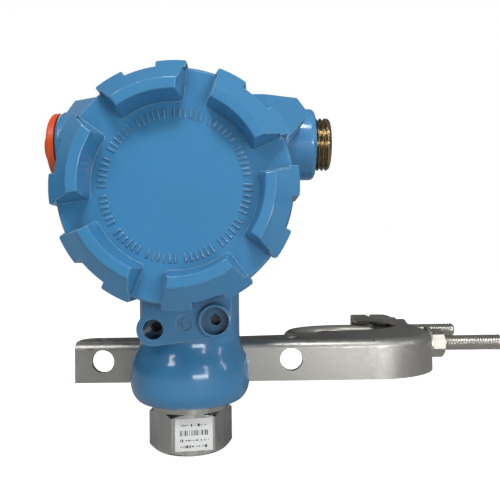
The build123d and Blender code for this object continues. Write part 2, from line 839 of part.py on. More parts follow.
# Bracket: flat web with a flange turned down all round its outer edge
with BuildPart() as bracket:
    saddle_front_y = pipe_axis_y - sqrt(saddle_r**2 - (horn_front_x - saddle_axis_x) ** 2)
    saddle_back_y = pipe_axis_y + sqrt(saddle_r**2 - (horn_back_x - saddle_axis_x) ** 2)
    outer_run = flange_path(0, bracket_left_x, horn_back_x)
    with BuildSketch(Plane.XY.offset(bracket_foot_z)):
        with BuildLine():
            add(outer_run)
            Line((horn_back_x, bracket_back_y), (horn_back_x, saddle_back_y))
            ThreePointArc(
                (horn_back_x, saddle_back_y),
                (saddle_axis_x + saddle_r, pipe_axis_y),
                (horn_front_x, saddle_front_y),
            )
            Polyline(
                (horn_front_x, saddle_front_y),
                (arm_step_x, arm_step_y),
                (arm_waist_x, arm_back_y),
                (bracket_left_x, arm_back_y),
                (bracket_left_x, bracket_front_y),
            )
        make_face()
    extrude(amount=bracket_top_z - bracket_foot_z)
    top_edges = bracket.faces().sort_by(Axis.Z)[-1].edges()
    fillet(
        top_edges.filter_by(lambda e: outer_run.distance_to(Vector((e @ 0.5).X, (e @ 0.5).Y)) < same_place),
        bracket_bend_r,
    )
    add(bracket_hollow.part, mode=Mode.SUBTRACT)

    # Rounded corners of the web, at the arm's end and at the tips of the horns
    for corner_x, corner_y, corner_r in (
        (bracket_left_x, arm_back_y, arm_corner_r),
        (horn_front_x, saddle_front_y, horn_tip_r),
        (horn_back_x, saddle_back_y, horn_tip_r),
    ):
        corner = Vector(corner_x, corner_y)
        fillet(
            bracket.edges().filter_by(Axis.Z).filter_by(
                lambda e: (Vector(e.center().X, e.center().Y) - corner).length < same_place
            ),
            corner_r,
        )

    # Holes in the front flange: two for a panel, two for the bolts to the bulge
    with Locations(*[facing(-1, bracket_front_y, x=end * panel_hole_half, z=hole_z) for end in (-1, 1)]):
        Hole(panel_hole_r, bracket_t)
    with Locations(*[facing(-1, bracket_front_y, x=end * bolt_half, z=bulge_z) for end in (-1, 1)]):
        Hole(bolt_hole_r, bracket_t)

    # Holes for the U-bolt in the side flange, and two in the web
    with Locations(*[
        sideways(1, bracket_side_x, y=pipe_axis_y + end * leg_half_spacing, z=hole_z) for end in (-1, 1)
    ]):
        Hole(panel_hole_r, bracket_t)
    with Locations(*[(end * web_hole_half, web_hole_y, bracket_top_z) for end in (-1, 1)]):
        Hole(web_hole_r, bracket_t)

    # Relief slot through the far horn's bend
    with BuildSketch(Plane.XY.offset(bracket_top_z)):
        with Locations((relief_slot_x, bracket_back_y)):
            Rectangle(relief_slot_w, 2 * relief_slot_length)
    extrude(amount=-relief_slot_depth, mode=Mode.SUBTRACT)
bracket.part.label = "bracket"


def make_hex(af, height, bore_r, turn):
    """Turned hexagon standing on XY, its outer corners chamfered, with a bore if its radius isn't zero."""
    corner_r = af / sqrt(3)
    corner_drop = (corner_r - af / 2) * tan(radians(bolt_chamfer_angle))
    with BuildPart() as hexagon:
        with BuildSketch():
            RegularPolygon(af / 2, 6, major_radius=False, rotation=turn)
        extrude(amount=height)
        with BuildSketch(Plane.XZ):
            with BuildLine():
                Polyline(
                    (0, 0),
                    (corner_r, 0),
                    (corner_r, height - corner_drop),
                    (af / 2, height),
                    (0, height),
                    close=True,
                )
            make_face()
        revolve(axis=Axis.Z, mode=Mode.INTERSECT)
        if bore_r:
            Hole(bore_r)
    return hexagon.part


bolt_head = make_hex(bolt_head_af, bolt_head_h, 0, 0)
u_bolt_nut = make_hex(nut_af, nut_h, rod_r + thread_clearance, nut_turn)

# Bracket bolts with split lock washers, screwed into the pad from behind
with BuildPart() as bracket_bolts:
    head_y = bracket_front_y + bracket_t + lock_washer_t
    with Locations(*[facing(1, head_y, x=end * bolt_half, z=bulge_z) for end in (-1, 1)]):
        add(bolt_head)
    with BuildSketch(facing(1, head_y, z=bulge_z)):
        with Locations((-bolt_half, 0), (bolt_half, 0)):
            Circle(bolt_r)
    extrude(amount=-(lock_washer_t + bracket_t + bolt_engagement))
bracket_bolts.part.label = "bracket_bolts"

with BuildPart() as bracket_lock_washers:
    with BuildSketch(facing(1, bracket_front_y + bracket_t, z=bulge_z)):
        with Locations((-bolt_half, 0), (bolt_half, 0)):
            Circle(lock_washer_r)
            Circle(bolt_hole_r, mode=Mode.SUBTRACT)
        with Locations((-bolt_half, lock_washer_r), (bolt_half, lock_washer_r)):
            Rectangle(lock_washer_gap, 2 * (lock_washer_r - bolt_hole_r) + cut_past, mode=Mode.SUBTRACT)
    extrude(amount=lock_washer_t)
bracket_lock_washers.part.label = "bracket_lock_washers"

# U-bolt, which hangs slightly tilted in the clearance of its holes
with BuildPart() as u_bolt:
    u_plane = Plane(
        origin=(bend_axis_x, pipe_axis_y, hole_z),
        x_dir=(1, 0, 0),
        z_dir=(0, sin(radians(u_bolt_tilt)), cos(radians(u_bolt_tilt))),
    )
    leg_length = leg_end_x - bend_axis_x
    with BuildLine(u_plane) as u_path:
        near_leg = Line((leg_length, -leg_half_spacing), (0, -leg_half_spacing))
        ThreePointArc((0, -leg_half_spacing), (-leg_half_spacing, 0), (0, leg_half_spacing))
        Line((0, leg_half_spacing), (leg_length, leg_half_spacing))
    with BuildSketch(Plane(origin=near_leg @ 0, z_dir=near_leg % 0)):
        Circle(rod_r)
    sweep(path=u_path.line)
    chamfer(u_bolt.faces().group_by(Axis.X)[-1].edges(), rod_chamfer)
u_bolt.part.label = "u_bolt"

leg_places = [(pipe_axis_y - leg_y, hole_z + leg_rise), (pipe_axis_y + leg_y, hole_z - leg_rise)]

with BuildPart() as u_bolt_washers:
    with BuildSketch(sideways(1, bracket_side_x, y=0, z=0)):
        with Locations(*leg_places):
            Circle(washer_r)
            Circle(rod_r + 2 * ring_clearance, mode=Mode.SUBTRACT)
    extrude(amount=washer_t)
u_bolt_washers.part.label = "u_bolt_washers"

with BuildPart() as u_bolt_nuts:
    for leg_place_y, leg_place_z in leg_places:
        with Locations(sideways(1, bracket_side_x + washer_t, y=leg_place_y, z=leg_place_z)):
            add(u_bolt_nut)
u_bolt_nuts.part.label = "u_bolt_nuts"

all_parts = [
    housing,
    front_cover,
    rear_cover,
    front_cover_seal,
    rear_cover_seal,
    terminal_block,
    terminal_screws,
    terminal_block_screws,
    feedthrough,
    electronics_module,
    electronics_screws,
    housing_lock_screw,
    process_connection,
    isolating_diaphragm,
    neck_seal,
    sensor_board,
    sensor_header,
    dust_plug,
    conduit_plug,
    bracket,
    bracket_bolts,
    bracket_lock_washers,
    u_bolt,
    u_bolt_washers,
    u_bolt_nuts,
]
os.makedirs("parts", exist_ok=True)
for piece in all_parts:
    export_step(piece.part, f"parts/{piece.part.label}.step")
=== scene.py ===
import json
import math
import random

import bpy
from mathutils import Matrix, Vector


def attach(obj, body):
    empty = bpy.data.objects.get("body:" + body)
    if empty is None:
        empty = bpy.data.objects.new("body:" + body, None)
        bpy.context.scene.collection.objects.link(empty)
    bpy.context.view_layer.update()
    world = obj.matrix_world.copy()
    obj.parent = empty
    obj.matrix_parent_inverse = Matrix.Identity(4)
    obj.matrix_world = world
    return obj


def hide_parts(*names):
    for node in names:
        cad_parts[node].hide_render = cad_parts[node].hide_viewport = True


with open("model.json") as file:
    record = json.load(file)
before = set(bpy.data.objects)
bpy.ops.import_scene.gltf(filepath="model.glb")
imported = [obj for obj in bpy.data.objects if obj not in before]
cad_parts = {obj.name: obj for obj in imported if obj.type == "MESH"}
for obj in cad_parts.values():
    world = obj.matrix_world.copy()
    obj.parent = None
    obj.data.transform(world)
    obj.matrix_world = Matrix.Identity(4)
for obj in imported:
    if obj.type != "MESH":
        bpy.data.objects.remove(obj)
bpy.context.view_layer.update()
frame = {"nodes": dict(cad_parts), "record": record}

MM = 0.001
TAU = 2 * math.pi
QUARTER_TURN = math.pi / 2
NODES = frame["nodes"]

# Points this close are one, in metres, and faces that meet under these angles, in degrees, shade as one skin.
# The rod's angle is wide, so that the steep flanks of its thread shade evenly
WELD = 0.000002
NEAR = 0.0000001
SOLID_SMOOTH = 28
PIECE_SMOOTH = 35
ROD_SMOOTH = 62

# From here on, sizes and places on the transmitter are in millimetres, and angles in degrees
COVER_AXIS_Z = 99.0
BODY_HALF = 28.0
COVER_FACE_Y = -43.4

# Cover threads: where they start and end along the spigot, and how far they stand from it
SPIGOT_R = 35.92
SPIGOT_LENGTH = 12.0
SEAL_DEPTH = 3.2
COVER_PITCH = 2.0
COVER_THREAD_START = 0.6
COVER_THREAD_END = 0.3
COVER_BLANK = 0.4
COVER_CREST = 0.85
COVER_ROOT = -0.1
COVER_END_TUCK = 0.99
COVER_RUNOUT = 0.5
COVER_SIDES = 96

# Ring of raised ticks on the front cover, each with a width, a thickness and a length
TICK = (0.75, 0.55, 3.0)
TICK_BEVEL = 0.14
TICK_LIFT = 0.1
TICK_RING_R = 24.2
TICK_BLOCKS = 12
TICKS_IN_BLOCK = 6
TICK_FIRST = 4
TICK_STEP = 4.4

# Earth symbol: each stroke's width, height and place above the disc's middle
EARTH_DISC_Z = 51.3
EARTH_DISC_Y = -21.5
EARTH_RELIEF = 0.5
EARTH_BEVEL = 0.08
EARTH_LINE = 0.42
EARTH_STROKES = (
    (EARTH_LINE, 2.0, 0.9), (3.4, EARTH_LINE, -0.1), (2.2, EARTH_LINE, -0.95), (1.0, EARTH_LINE, -1.8))

# Metal conduit plug: its rounded rim goes out in steps, each with a length and a scale.
# Its thread has more rings of points in a pitch than the others, because it shows best
CONDUIT_Z = 121.4
CONDUIT_Y = 3.0
CONDUIT_X = 51.5
PLUG_R = 10.67
PLUG_OUT = 6.3
PLUG_IN = 11.0
PLUG_PITCH = 1.81
PLUG_THREAD_DEPTH = 0.95
PLUG_RUNOUT = 0.6
PLUG_SIDES = 56
PLUG_THREAD_RINGS = 9
PLUG_RIM = 1.2
PLUG_RIM_STEPS = ((0.15, 0.985), (0.45, 0.975), (0.4, 0.955), (0.2, 0.93))
PLUG_SOCKET_AF = 9.5
PLUG_SOCKET_DEPTH = 5.0

# Process port: a wound sleeve lines its bore
PORT_R = 9.7
PORT_DEPTH = 14.0
PORT_THREAD_START = 0.6
PORT_THREAD_END = 0.4
PORT_THREAD_DEPTH = 1.0
PORT_THREAD_SUNK = 0.02
PORT_THREAD_WALL = 0.25
PORT_RUNOUT = 0.5
PORT_SIDES = 48

# U-bolt: its legs lie along X, half a span to each side of the pipe's axis
ROD_R = 3.97
ROD_ROOT_R = 3.42
ROD_PITCH = 1.41
ROD_RUNOUT = 2.0
ROD_SIDES = 28
ROD_POINT = 1.0
ROD_POINT_SCALE = 0.76
LEG_HALF = 34.95
BEND_X = 82.6
BEND_STEPS = 40
LEG_END_X = 155.0
THREAD_START_X = 108.0
PIPE_Y = 102.0
HOLE_Z = 29.0
U_BOLT_TILT = 1.5

# Every thread: rings of points in one pitch, and how its flanks rise from a flat root to a flat crest
THREAD_RINGS = 7
FLANK_RISE = 1.25
ROOT_FLAT = 0.08

# Cuts that round the edges of a block
BLOCK_BEVEL_CUTS = 2

# Sticker on the hexagon: rows of print by height, start and end, in widths, heights and gaps drawn by lot
HEX_FLAT = 28.68
HEX_TURN = 9.0
LABEL = (14.2, 0.12, 12.2)
LABEL_X = 0.3
LABEL_Z = 8.3
LABEL_LIFT = 0.07
LABEL_BEVEL = 0.04
PRINT_THICK = 0.04
PRINT_LIFT = 0.14
PRINT_BEVEL = 0.005
BAR_ROWS = ((9.0, -5.0, 6.0),)
BAR_WIDTHS = (0.18, 0.3, 0.45)
BAR_HEIGHTS = (2.0,)
BAR_GAPS = (0.25, 0.4, 0.6)
WORD_ROWS = ((11.9, -4.8, 5.4), (6.2, -4.9, 6.0), (3.9, -4.9, 5.6))
WORD_WIDTHS = (0.3, 0.5, 0.8)
WORD_HEIGHTS = (0.25, 0.5, 1.0)
WORD_GAPS = (0.3, 0.4, 0.9)


# Selecting and finishing

def object_mode():
    """Leaves edit mode, with nothing selected."""
    if bpy.context.object and bpy.context.object.mode != "OBJECT":
        bpy.ops.object.mode_set(mode="OBJECT")
    bpy.ops.object.select_all(action="DESELECT")


def pick(piece):
    """Selects one piece alone, in object mode."""
    object_mode()
    bpy.context.view_layer.objects.active = piece
    piece.select_set(True)


def edit(piece):
    """Opens a piece for editing, with none of its faces selected."""
    pick(piece)
    bpy.ops.object.mode_set(mode="EDIT")
    bpy.ops.mesh.select_all(action="DESELECT")


def choose_ring(piece, x):
    """Selects the points of an edited piece that lie at one place along X."""
    bpy.ops.mesh.select_mode(type="VERT")
    bpy.ops.mesh.select_all(action="DESELECT")
    bpy.ops.object.mode_set(mode="OBJECT")
    for point in piece.data.vertices:
        point.select = abs(point.co.x - x * MM) < NEAR
    bpy.ops.object.mode_set(mode="EDIT")


def choose_long_edges(piece, length):
    """Selects the edges of an edited piece that run along X for more than a length."""
    bpy.ops.mesh.select_mode(type="EDGE")
    bpy.ops.mesh.select_all(action="DESELECT")
    bpy.ops.object.mode_set(mode="OBJECT")
    points = piece.data.vertices
    for edge in piece.data.edges:
        start, end = [points[i].co.x for i in edge.vertices]
        edge.select = abs(start - end) > length * MM
    bpy.ops.object.mode_set(mode="EDIT")


def extend(length, scale=1.0):
    """Draws what is selected out along X, and scales it across."""
    bpy.ops.mesh.extrude_region_move(TRANSFORM_OT_translate={"value": (length * MM, 0, 0)})
    bpy.ops.transform.resize(value=(1, scale, scale))


def set_in_place():
    """Moves the place, turn and scale of the selected piece into its mesh."""
    bpy.ops.object.transform_apply(location=True, rotation=True, scale=True)


def smooth_under(degrees):
    """Shades the selected piece smooth, with sharp edges where its faces meet at a wider angle."""
    bpy.ops.object.shade_smooth_by_angle(angle=math.radians(degrees))


def apply_modifier(piece, kind, **settings):
    """Puts a modifier on a piece and applies it."""
    modifier = piece.modifiers.new(kind.lower(), kind)
    for key, value in settings.items():
        setattr(modifier, key, value)
    pick(piece)
    bpy.ops.object.modifier_apply(modifier=modifier.name)


def settle(piece, name, body, slot, material=None, smooth=PIECE_SMOOTH):
    """Turns a piece's faces outwards, gives it its name and finish, and lets it ride on a body."""
    pick(piece)
    set_in_place()
    bpy.ops.object.mode_set(mode="EDIT")
    bpy.ops.mesh.select_all(action="SELECT")
    bpy.ops.mesh.remove_doubles(threshold=WELD)
    bpy.ops.mesh.normals_make_consistent(inside=False)
    bpy.ops.object.mode_set(mode="OBJECT")
    smooth_under(smooth)
    piece.name = name
    piece.data.name = name
    piece.data.materials.clear()
    piece.data.materials.append(material or FINISHES[slot])
    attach(piece, body)
    object_mode()


def join(pieces):
    """Makes several pieces one."""
    object_mode()
    for piece in pieces:
        piece.select_set(True)
    bpy.context.view_layer.objects.active = pieces[0]
    bpy.ops.object.join()
    return bpy.context.object


def copy_of(piece, matrix):
    """A copy with its own mesh, moved by a matrix."""
    twin = piece.copy()
    twin.data = piece.data.copy()
    twin.data.transform(matrix)
    bpy.context.collection.objects.link(twin)
    return twin


def move(x, y, z):
    """A matrix that moves by millimetres."""
    return Matrix.Translation((x * MM, y * MM, z * MM))


# Shapes that several pieces share

def bar(size, place, bevel):
    """A block with bevelled edges."""
    object_mode()
    bpy.ops.mesh.primitive_cube_add(size=1, location=[v * MM for v in place])
    block = bpy.context.object
    block.scale = [v * MM for v in size]
    set_in_place()
    bpy.ops.object.mode_set(mode="EDIT")
    bpy.ops.mesh.select_all(action="SELECT")
    bpy.ops.mesh.bevel(offset=bevel * MM, segments=BLOCK_BEVEL_CUTS)
    object_mode()
    return block


def bar_along_x(radius, length, place, sides, ends):
    """A bar of many or few sides whose axis lies along X."""
    object_mode()
    bpy.ops.mesh.primitive_cylinder_add(
        vertices=sides, radius=radius * MM, depth=length * MM, end_fill_type=ends,
        location=[v * MM for v in place], rotation=(0, QUARTER_TURN, 0))
    set_in_place()
    return bpy.context.object


def ringed_bar(radius, start, end, step, sides):
    """A round bar along X whose skin is divided into rings, with open ends."""
    length = end - start
    piece = bar_along_x(radius, length, ((start + end) / 2, 0, 0), sides, "NOTHING")
    edit(piece)
    choose_long_edges(piece, length / 2)
    bpy.ops.mesh.subdivide(number_cuts=max(1, round(length / step) - 1))
    object_mode()
    return piece


def wind_thread(piece, start, end, pitch, crest, root, runout):
    """Winds a thread on a bar along X: each ring of points moves to the crest or the root as it turns."""
    for point in piece.data.vertices:
        x = point.co.x / MM
        turn = math.atan2(point.co.z, point.co.y) / TAU
        phase = (x / pitch - turn) % 1.0
        flank = 1 - abs(2 * phase - 1)
        height = min(1.0, max(0.0, FLANK_RISE * flank - ROOT_FLAT))
        fade = max(0.0, min(1.0, (x - start) / runout, (end - x) / runout))
        wanted = root + (crest - root) * (1 - (1 - height) * fade)
        scale = wanted * MM / math.hypot(point.co.y, point.co.z)
        point.co.y *= scale
        point.co.z *= scale


def print_row(face_y, row, widths, heights, gaps):
    """A row of printed marks of changing width and height, or of one height where only one is given."""
    z, x, end = row
    marks = []
    while x < end:
        width = random.choice(widths)
        height = random.choice(heights) if len(heights) > 1 else heights[0]
        marks.append(bar((width, PRINT_THICK, height), (x + width / 2, face_y - PRINT_LIFT, z), PRINT_BEVEL))
        x += width + random.choice(gaps)
    return marks


# Shader nodes

def opaque(colour):
    """A colour with its alpha."""
    return (*colour, 1)


def add_node(tree, kind, values=None, **settings):
    """A node with its settings, and values for its input sockets."""
    node = tree.nodes.new(kind)
    for key, value in settings.items():
        setattr(node, key, value)
    for key, value in (values or {}).items():
        node.inputs[key].default_value = value
    return node


def feed(tree, inlet, value):
    """Links an input to another socket, or gives it a fixed value."""
    if isinstance(value, bpy.types.NodeSocket):
        tree.links.new(value, inlet)
    else:
        inlet.default_value = value


def mix_colours(tree, factor, first, second):
    """A mix of two colours, sockets or fixed ones. A mix node has its colours at inputs 6 and 7."""
    node = add_node(tree, "ShaderNodeMix", data_type="RGBA")
    for index, value in ((0, factor), (6, first), (7, second)):
        feed(tree, node.inputs[index], value)
    return node.outputs[2]


def calculate(tree, operation, first, second=0.0, third=0.0):
    """A math node whose inputs are sockets or numbers."""
    node = add_node(tree, "ShaderNodeMath", operation=operation)
    for inlet, value in zip(node.inputs, (first, second, third)):
        feed(tree, inlet, value)
    return node.outputs[0]


def spread(tree, value, low, high, new_low, new_high):
    """Maps a value from one range to another."""
    ends = {"From Min": low, "From Max": high, "To Min": new_low, "To Max": new_high}
    node = add_node(tree, "ShaderNodeMapRange", ends)
    tree.links.new(value, node.inputs["Value"])
    return node.outputs["Result"]


def new_group(name, inputs, outputs):
    """An empty node group with named inputs and outputs, and its two end nodes."""
    group = bpy.data.node_groups.new(name, "ShaderNodeTree")
    for label, kind, default in inputs:
        made = group.interface.new_socket(name=label, in_out="INPUT", socket_type=kind)
        if default is not None:
            made.default_value = default
    for label, kind in outputs:
        group.interface.new_socket(name=label, in_out="OUTPUT", socket_type=kind)
    return group, group.nodes.new("NodeGroupInput"), group.nodes.new("NodeGroupOutput")


def link_inputs(group, start, node, **sockets):
    """Links a group's inputs to a node of it, by the names of the node's inputs."""
    for inlet, label in sockets.items():
        group.links.new(start.outputs[label], node.inputs[inlet])


# Effects that materials share

def make_surface_group():
    """Cloudy tone and fine relief that paint, cast metal and plastic share."""
    group, start, end = new_group(
        "surface_grain",
        [("Vector", "NodeSocketVector", None), ("Colour", "NodeSocketColor", (0.5, 0.5, 0.5, 1)),
         ("Tone", "NodeSocketFloat", 0.1), ("Cloud Scale", "NodeSocketFloat", 40.0),
         ("Grain Scale", "NodeSocketFloat", 900.0), ("Roughness", "NodeSocketFloat", 0.4),
         ("Roughness Change", "NodeSocketFloat", 0.1)],
        [("Colour", "NodeSocketColor"), ("Roughness", "NodeSocketFloat"), ("Height", "NodeSocketFloat")],
    )
    cloud = add_node(group, "ShaderNodeTexNoise", {"Detail": 3.0, "Roughness": 0.55})
    grain = add_node(group, "ShaderNodeTexNoise", {"Detail": 2.0, "Roughness": 0.5})
    link_inputs(group, start, cloud, Vector="Vector", Scale="Cloud Scale")
    link_inputs(group, start, grain, Vector="Vector", Scale="Grain Scale")
    centred = calculate(group, "SUBTRACT", cloud.outputs["Fac"], 0.5)
    change = calculate(group, "MULTIPLY", centred, start.outputs["Tone"])
    factor = calculate(group, "MULTIPLY_ADD", change, 2.0, 1.0)
    scaled = add_node(group, "ShaderNodeVectorMath", operation="SCALE")
    group.links.new(start.outputs["Colour"], scaled.inputs[0])
    group.links.new(factor, scaled.inputs["Scale"])
    rough = calculate(
        group, "MULTIPLY_ADD", centred, start.outputs["Roughness Change"], start.outputs["Roughness"])
    group.links.new(scaled.outputs[0], end.inputs["Colour"])
    group.links.new(rough, end.inputs["Roughness"])
    group.links.new(grain.outputs["Fac"], end.inputs["Height"])
    return group


def make_speck_group():
    """Sparse specks: a mask that is 1 on small round spots."""
    group, start, end = new_group(
        "specks",
        [("Vector", "NodeSocketVector", None), ("Scale", "NodeSocketFloat", 120.0),
         ("Size", "NodeSocketFloat", 0.06), ("Share", "NodeSocketFloat", 0.1)],
        [("Mask", "NodeSocketFloat")],
    )
    cells = add_node(group, "ShaderNodeTexVoronoi", {"Randomness": 1.0})
    link_inputs(group, start, cells, Vector="Vector", Scale="Scale")
    spot = calculate(group, "LESS_THAN", cells.outputs["Distance"], start.outputs["Size"])
    split = add_node(group, "ShaderNodeSeparateColor")
    group.links.new(cells.outputs["Color"], split.inputs[0])
    chosen = calculate(group, "LESS_THAN", split.outputs[0], start.outputs["Share"])
    group.links.new(calculate(group, "MULTIPLY", spot, chosen), end.inputs["Mask"])
    return group


def make_mark_group():
    """Fine marks drawn out along one direction, as from turning, drawing or tumbling."""
    group, start, end = new_group(
        "drawn_marks",
        [("Vector", "NodeSocketVector", None), ("Stretch", "NodeSocketVector", (1.0, 1.0, 1.0)),
         ("Scale", "NodeSocketFloat", 300.0)],
        [("Height", "NodeSocketFloat")],
    )
    stretch = add_node(group, "ShaderNodeVectorMath", operation="MULTIPLY")
    group.links.new(start.outputs["Vector"], stretch.inputs[0])
    group.links.new(start.outputs["Stretch"], stretch.inputs[1])
    marks = add_node(group, "ShaderNodeTexNoise", {"Detail": 4.0, "Roughness": 0.6})
    group.links.new(stretch.outputs[0], marks.inputs["Vector"])
    link_inputs(group, start, marks, Scale="Scale")
    group.links.new(marks.outputs["Fac"], end.inputs["Height"])
    return group


# Samples of the nodes that look round a point, and the cosines at which an edge starts and is full
ROUNDING_SAMPLES = 6
OPENNESS_SAMPLES = 8
EDGE_STARTS = 0.985
EDGE_FULL = 0.86

SURFACE = make_surface_group()
SPECKS = make_speck_group()
MARKS = make_mark_group()


def use_group(tree, group, coordinates, **values):
    """Places a shared group in a material, fed with Object coordinates."""
    node = add_node(tree, "ShaderNodeGroup", node_tree=group)
    tree.links.new(coordinates, node.inputs["Vector"])
    for key, value in values.items():
        node.inputs[key.replace("_", " ")].default_value = value
    return node


def start_material(name):
    """A material with its shader and the Object coordinates."""
    material = bpy.data.materials.new(name)
    material.use_nodes = True
    tree = material.node_tree
    shader = tree.nodes["Principled BSDF"]
    place = tree.nodes.new("ShaderNodeTexCoord")
    return material, tree, shader, place.outputs["Object"]


def dress(tree, shader, colour, roughness, **values):
    """Feeds a colour and a roughness to the shader, and gives its other inputs fixed values."""
    tree.links.new(colour, shader.inputs["Base Color"])
    tree.links.new(roughness, shader.inputs["Roughness"])
    for key, value in values.items():
        shader.inputs[key.replace("_", " ")].default_value = value


def rounded_normal(tree, radius):
    """The normal of a surface whose edges are rounded by a radius in millimetres."""
    rounding = add_node(tree, "ShaderNodeBevel", {"Radius": radius * MM}, samples=ROUNDING_SAMPLES)
    return rounding.outputs["Normal"]


def set_bump(tree, shader, height, distance, strength, edge=0.0):
    """Feeds a relief, deep by a distance in metres, to the shader's normal, over rounded edges if asked."""
    bump = add_node(tree, "ShaderNodeBump", {"Distance": distance, "Strength": strength})
    tree.links.new(height, bump.inputs["Height"])
    if edge:
        tree.links.new(rounded_normal(tree, edge), bump.inputs["Normal"])
    tree.links.new(bump.outputs["Normal"], shader.inputs["Normal"])


def edge_mask(tree, radius):
    """A mask that is 1 along edges, where the enamel's colour is lightened as a painted highlight."""
    plain = tree.nodes.new("ShaderNodeNewGeometry")
    agreement = add_node(tree, "ShaderNodeVectorMath", operation="DOT_PRODUCT")
    tree.links.new(rounded_normal(tree, radius), agreement.inputs[0])
    tree.links.new(plain.outputs["Normal"], agreement.inputs[1])
    return spread(tree, agreement.outputs["Value"], EDGE_STARTS, EDGE_FULL, 0.0, 1.0)


# Finishes: noise scales count features in a metre, relief is in metres, and edges and reach in millimetres

ENAMEL_BLUE = (0.046, 0.222, 0.44)
ENAMEL_HIGHLIGHT = (0.34, 0.58, 0.74)
ENAMEL_SPECK = (0.012, 0.03, 0.06)
ENAMEL_SHADE = (0.004, 0.02, 0.045)
HIGHLIGHT_EDGE_R = 0.5
PAINTED_EDGE_R = 0.7
SHADE_REACH = 11
BARE_EDGE_R = 0.25
PIT_SHADE = 0.35
GRAIN_SHARE = 0.35
MARK_ROUGHNESS = 0.16
ALL_WAYS = (1.0, 1.0, 1.0)


def enamel():
    """Blue enamel on the casting: slight orange peel, gloss, painted highlights along the edges, dark specks
    and painted shade in recesses.
    """
    material, tree, shader, place = start_material("blue_enamel")
    skin = use_group(tree, SURFACE, place, Colour=opaque(ENAMEL_BLUE), Tone=0.07, Cloud_Scale=28.0,
                     Grain_Scale=520.0, Roughness=0.42, Roughness_Change=0.1)
    specks = use_group(tree, SPECKS, place, Scale=75.0, Size=0.05, Share=0.09)
    colour = mix_colours(tree, specks.outputs["Mask"], skin.outputs["Colour"], opaque(ENAMEL_SPECK))
    # Paler, patchy edges: a painted highlight, standing in for light caught by rounded edges
    patches = spread(tree, skin.outputs["Height"], 0.4, 0.6, 0.5, 1.0)
    painted_highlight = calculate(tree, "MULTIPLY", edge_mask(tree, HIGHLIGHT_EDGE_R), patches)
    colour = mix_colours(tree, painted_highlight, colour, opaque(ENAMEL_HIGHLIGHT))
    # Darker where the occlusion finds nearby surfaces: painted shade in recesses and under the cover
    openness = add_node(
        tree, "ShaderNodeAmbientOcclusion", {"Distance": SHADE_REACH * MM}, samples=OPENNESS_SAMPLES)
    painted_shade = spread(tree, openness.outputs["AO"], 0.12, 0.7, 0.8, 0.0)
    colour = mix_colours(tree, painted_shade, colour, opaque(ENAMEL_SHADE))
    dress(tree, shader, colour, skin.outputs["Roughness"],
          Coat_Weight=0.85, Coat_Roughness=0.11, Specular_IOR_Level=0.3)
    set_bump(tree, shader, skin.outputs["Height"], distance=0.00004, strength=0.5, edge=PAINTED_EDGE_R)
    return material


def metal(name, colour, roughness, tone, scale, relief, stretch=ALL_WAYS, pits=0.0, cloud=40.0):
    """Bare metal with drawn or tumbled marks, and darker pits where it has them."""
    material, tree, shader, place = start_material(name)
    skin = use_group(tree, SURFACE, place, Colour=opaque(colour), Tone=tone, Cloud_Scale=cloud,
                     Grain_Scale=1500.0, Roughness=roughness, Roughness_Change=0.22)
    marks = use_group(tree, MARKS, place, Stretch=stretch, Scale=scale)
    base = skin.outputs["Colour"]
    if pits:
        dots = use_group(tree, SPECKS, place, Scale=260.0, Size=0.14, Share=pits)
        base = mix_colours(tree, dots.outputs["Mask"], base, opaque([c * PIT_SHADE for c in colour]))
    sheen = spread(tree, marks.outputs["Height"], 0.35, 0.65, -0.5, 0.5)
    rough = calculate(tree, "MULTIPLY_ADD", sheen, MARK_ROUGHNESS, skin.outputs["Roughness"])
    dress(tree, shader, base, rough, Metallic=1.0)
    height = calculate(tree, "MULTIPLY_ADD", skin.outputs["Height"], GRAIN_SHARE, marks.outputs["Height"])
    set_bump(tree, shader, height, distance=relief, strength=0.7, edge=BARE_EDGE_R)
    return material


def moulded(name, colour, roughness, coat=0.0, see_into=0.0):
    """Moulded plastic or rubber with a faint grain."""
    material, tree, shader, place = start_material(name)
    skin = use_group(tree, SURFACE, place, Colour=opaque(colour), Tone=0.1, Cloud_Scale=60.0,
                     Grain_Scale=1400.0, Roughness=roughness, Roughness_Change=0.1)
    dress(tree, shader, skin.outputs["Colour"], skin.outputs["Roughness"],
          Coat_Weight=coat, Subsurface_Weight=see_into, Subsurface_Scale=0.003)
    set_bump(tree, shader, skin.outputs["Height"], distance=0.00003, strength=0.6)
    return material


def printed_paper():
    """White sticker stock with a slight sheen."""
    material, tree, shader, place = start_material("label_paper")
    skin = use_group(tree, SURFACE, place, Colour=(0.8, 0.8, 0.79, 1), Tone=0.03, Cloud_Scale=200.0,
                     Grain_Scale=2500.0, Roughness=0.45, Roughness_Change=0.1)
    dress(tree, shader, skin.outputs["Colour"], skin.outputs["Roughness"])
    set_bump(tree, shader, skin.outputs["Height"], distance=0.00001, strength=0.4)
    return material


def circuit_board():
    """Green board with paler tracks."""
    material, tree, shader, place = start_material("circuit_board")
    looks = {
        "Color1": (0.02, 0.13, 0.05, 1), "Color2": (0.025, 0.16, 0.06, 1), "Mortar": (0.06, 0.26, 0.12, 1),
        "Scale": 300.0, "Mortar Size": 0.12,
    }
    tracks = add_node(tree, "ShaderNodeTexBrick", looks)
    tree.links.new(place, tracks.inputs["Vector"])
    tree.links.new(tracks.outputs["Color"], shader.inputs["Base Color"])
    shader.inputs["Roughness"].default_value = 0.35
    return material


